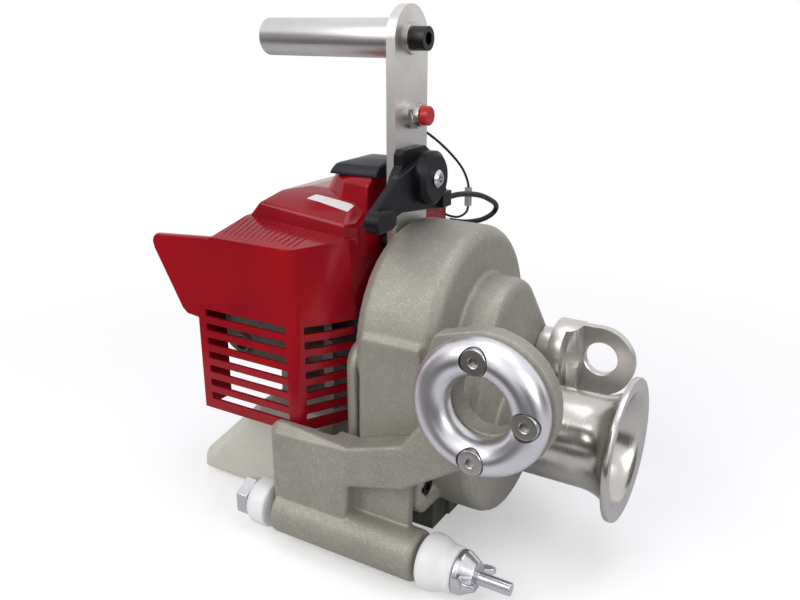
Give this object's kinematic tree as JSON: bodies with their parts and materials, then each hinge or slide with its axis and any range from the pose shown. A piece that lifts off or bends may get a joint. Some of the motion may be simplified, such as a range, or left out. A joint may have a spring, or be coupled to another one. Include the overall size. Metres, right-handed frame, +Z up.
{
  "type": "petrol capstan winch",
  "caption": "Petrol capstan winch: flared rope drum on a reduction gearbox, small engine, carrying handle, rope guide ring, swivel anchor eye and roller bracket.",
  "frame": {"origin": "centre of the standing face: under the rear joint face of the gear housing, on the centre plane of engine and drum, on the ground", "axes": "+X from the engine towards the drum's open mouth, along crankshaft and drum; +Y away from the side bracket with the guide ring; +Z up along the handle bar"},
  "size_m": [0.3956, 0.2891, 0.43],
  "materials": {
    "cast_alloy": "sand cast, bead blasted",
    "dark_casting": "cast, sealed",
    "machined_alloy": "brushed",
    "polished_alloy": "polished",
    "stainless": "turned and polished",
    "gear_steel": "ground",
    "black_steel": "black oxide",
    "zinc_steel": "zinc plated",
    "bearing_steel": "ground",
    "black_plastic": "moulded, fine grain",
    "red_plastic": "high gloss",
    "button_red": "gloss",
    "nylon": "satin",
    "tank_plastic": "satin, slightly translucent",
    "rubber": "smooth",
    "sleeve_plastic": "clear crimp sleeve",
    "friction_lining": "sintered",
    "ceramic": "glazed"
  },
  "bodies": {
    "housing": {"gear_housing": "cast_alloy", "rear_plate": "cast_alloy", "m8_screws": "black_steel", "base_foot": "dark_casting", "handle_bar": "machined_alloy", "handle_grip": "machined_alloy", "grip_screw": "black_steel", "grip_washer": "zinc_steel", "switch_body": "zinc_steel", "throttle_base": "black_plastic", "knob_screw": "zinc_steel", "throttle_cable": "rubber", "stop_wire": "rubber", "wire_connector": "sleeve_plastic", "drum_seal": "rubber", "ball_bearings": "bearing_steel", "carrier_plate": "machined_alloy", "clutch_plate": "machined_alloy", "clutch_shoes": "friction_lining", "crankshaft": "gear_steel", "flywheel": "machined_alloy", "crankcase": "cast_alloy", "fan_housing": "black_plastic", "cylinder": "cast_alloy", "piston": "machined_alloy", "connecting_rod": "gear_steel", "muffler": "zinc_steel", "carburettor": "machined_alloy", "air_filter_cover": "black_plastic", "engine_cover": "red_plastic", "top_cap": "black_plastic", "spark_plug": "ceramic", "starter_cover": "black_plastic", "fuel_tank": "tank_plastic", "side_bracket": "cast_alloy", "guide_ring": "polished_alloy", "ring_screws": "stainless", "bracket_pin": "zinc_steel"},
    "drum": {"drum": "stainless", "drum_shaft": "gear_steel", "drum_screw": "gear_steel", "output_gear": "gear_steel"},
    "mid": {"mid_shaft": "gear_steel", "mid_gear": "gear_steel", "final_pinion": "gear_steel"},
    "lay": {"lay_shaft": "gear_steel", "lay_gear": "gear_steel"},
    "clutch": {"clutch_drum": "gear_steel", "input_pinion": "gear_steel"},
    "lever": {"throttle_lever": "black_plastic", "friction_knob": "black_plastic"},
    "button": {"stop_button": "button_red"},
    "eye": {"swivel_eye": "stainless", "swivel_nut": "zinc_steel"},
    "left_roller": {"left_roller": "nylon"},
    "right_roller": {"right_roller": "nylon"},
    "wing_nut": {"wing_nut": "zinc_steel"},
    "starter_handle": {"starter_handle": "black_plastic"},
    "starter_pulley": {"starter_pulley": "nylon"},
    "fuel_cap": {"fuel_cap": "black_plastic"}
  },
  "joints": [
    {"name": "drum_spin", "type": "hinge", "parent": "housing", "child": "drum", "pos_m": [0.15, 0, 0.107], "axis": [1, 0, 0], "continuous": true},
    {"name": "mid_spin", "type": "hinge", "parent": "housing", "child": "mid", "pos_m": [0.066, 0, 0.1775], "axis": [1, 0, 0], "continuous": true},
    {"name": "lay_spin", "type": "hinge", "parent": "housing", "child": "lay", "pos_m": [0.045, 0, 0.21875], "axis": [1, 0, 0], "continuous": true},
    {"name": "clutch_spin", "type": "hinge", "parent": "housing", "child": "clutch", "pos_m": [0.033, 0, 0.1775], "axis": [1, 0, 0], "continuous": true},
    {"name": "throttle_turn", "type": "hinge", "parent": "housing", "child": "lever", "pos_m": [0.012, 0, 0.3], "axis": [-1, 0, 0], "range_deg": [0, 55]},
    {"name": "stop_press", "type": "slide", "parent": "housing", "child": "button", "axis": [-1, 0, 0], "range_m": [0, 0.003], "stiffness_N_per_m": 900, "springref_m": -0.002},
    {"name": "eye_swivel", "type": "hinge", "parent": "housing", "child": "eye", "pos_m": [0.08, 0.06, 0.1497], "axis": [1, 0, 0], "continuous": true},
    {"name": "left_roller_spin", "type": "hinge", "parent": "housing", "child": "left_roller", "pos_m": [-0.083, -0.101, 0.0275], "axis": [1, 0, 0], "continuous": true},
    {"name": "right_roller_spin", "type": "hinge", "parent": "housing", "child": "right_roller", "pos_m": [0.086, -0.101, 0.0275], "axis": [1, 0, 0], "continuous": true},
    {"name": "wing_nut_turn", "type": "hinge", "parent": "housing", "child": "wing_nut", "pos_m": [0.113, -0.101, 0.0275], "axis": [1, 0, 0], "range_deg": [-1440, 0]},
    {"name": "starter_pull", "type": "slide", "parent": "housing", "child": "starter_handle", "axis": [0, 1, 0], "range_m": [0, 0.45], "stiffness_N_per_m": 20, "springref_m": -0.3},
    {"name": "pulley_spin", "type": "hinge", "parent": "housing", "child": "starter_pulley", "pos_m": [-0.158, 0, 0.1775], "axis": [1, 0, 0], "range_deg": [-1000, 0]},
    {"name": "fuel_cap_turn", "type": "hinge", "parent": "housing", "child": "fuel_cap", "pos_m": [-0.112, 0.07, 0.052], "axis": [0, 1, 0], "range_deg": [-720, 0]}
  ],
  "couplings": [
    {"joint": "mid_spin", "follows": "drum_spin", "ratio": -5.7143},
    {"joint": "lay_spin", "follows": "drum_spin", "ratio": 17.857},
    {"joint": "clutch_spin", "follows": "drum_spin", "ratio": -80.357},
    {"joint": "pulley_spin", "follows": "starter_pull", "rad_per_m": -38.462}
  ]
}
